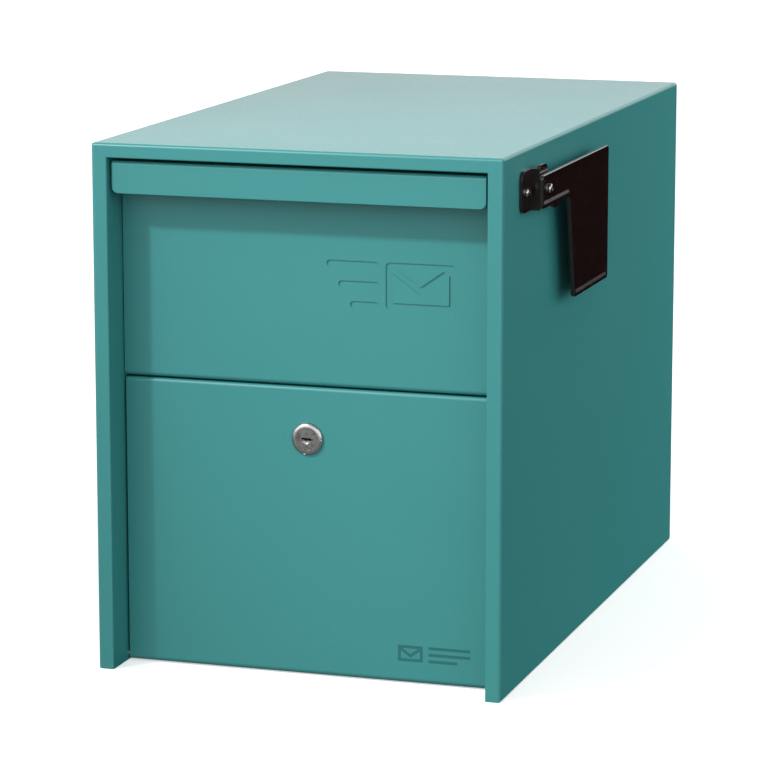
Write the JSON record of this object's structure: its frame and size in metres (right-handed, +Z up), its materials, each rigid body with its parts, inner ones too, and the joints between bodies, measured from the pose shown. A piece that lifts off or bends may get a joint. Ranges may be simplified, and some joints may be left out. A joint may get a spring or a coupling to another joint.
{
  "type": "post box",
  "caption": "Locking post box: deep folded-steel casing, tip-out hopper door over a key-locked lower door, signal flag on one side and a bolt-down base plate.",
  "frame": {"origin": "centre of the four post holes in the base plate, in the plane that the box stands on", "axes": "+Z up; the doors face -Y; the flag is on the +X side"},
  "size_m": [0.2994, 0.488, 0.362],
  "materials": {
    "powder_coat": "teal powder coat, fine texture, satin",
    "zinc_plate": "bright zinc plate",
    "bright_steel": "satin bright steel",
    "spring_steel": "plain rolled spring steel",
    "dark_plastic": "near-black brown, gloss",
    "nylon": "natural nylon",
    "rubber": "black rubber"
  },
  "bodies": {
    "casing": {"casing_shell": "powder_coat", "back_panel": "powder_coat", "floor_pan": "powder_coat", "mounting_plate": "zinc_plate", "plate_bolts": "zinc_plate", "plate_washers": "zinc_plate", "plate_nuts": "zinc_plate", "crossbar": "powder_coat", "crossbar_rivets": "zinc_plate", "top_baffle": "powder_coat", "door_bumpers": "rubber", "hopper_bumpers": "rubber", "hopper_hinge_rod": "zinc_plate", "door_hinge_rod": "zinc_plate", "rod_caps": "zinc_plate", "flag_bracket": "dark_plastic", "bracket_screw": "bright_steel", "bracket_nut": "zinc_plate", "pivot_screw": "bright_steel", "pivot_nut": "zinc_plate", "flag_washer": "nylon"},
    "hopper": {"hopper_door": "powder_coat", "hopper_tray": "powder_coat", "mail_clip": "spring_steel"},
    "locking_door": {"lower_door": "powder_coat", "stiffening_pan": "powder_coat", "lock_housing": "bright_steel", "lock_nut": "zinc_plate"},
    "lock_plug_body": {"lock_plug": "bright_steel", "lock_cam": "zinc_plate", "cam_screw": "zinc_plate"},
    "flag": {"signal_flag": "dark_plastic"}
  },
  "joints": [
    {"name": "hopper_hinge", "type": "hinge", "parent": "casing", "child": "hopper", "pos_m": [0, -0.21484, 0.20386], "axis": [1, 0, 0], "range_deg": [0, 60]},
    {"name": "locking_door_hinge", "type": "hinge", "parent": "casing", "child": "locking_door", "pos_m": [0, -0.21434, 0.00446], "axis": [1, 0, 0], "range_deg": [0, 90]},
    {"name": "lock_turn", "type": "hinge", "parent": "locking_door", "child": "lock_plug_body", "pos_m": [0, -0.2184, 0.1644], "axis": [0, 1, 0], "range_deg": [0, 90]},
    {"name": "flag_pivot", "type": "hinge", "parent": "casing", "child": "flag", "pos_m": [0.1537, -0.1735, 0.334], "axis": [1, 0, 0], "range_deg": [0, 90]}
  ]
}
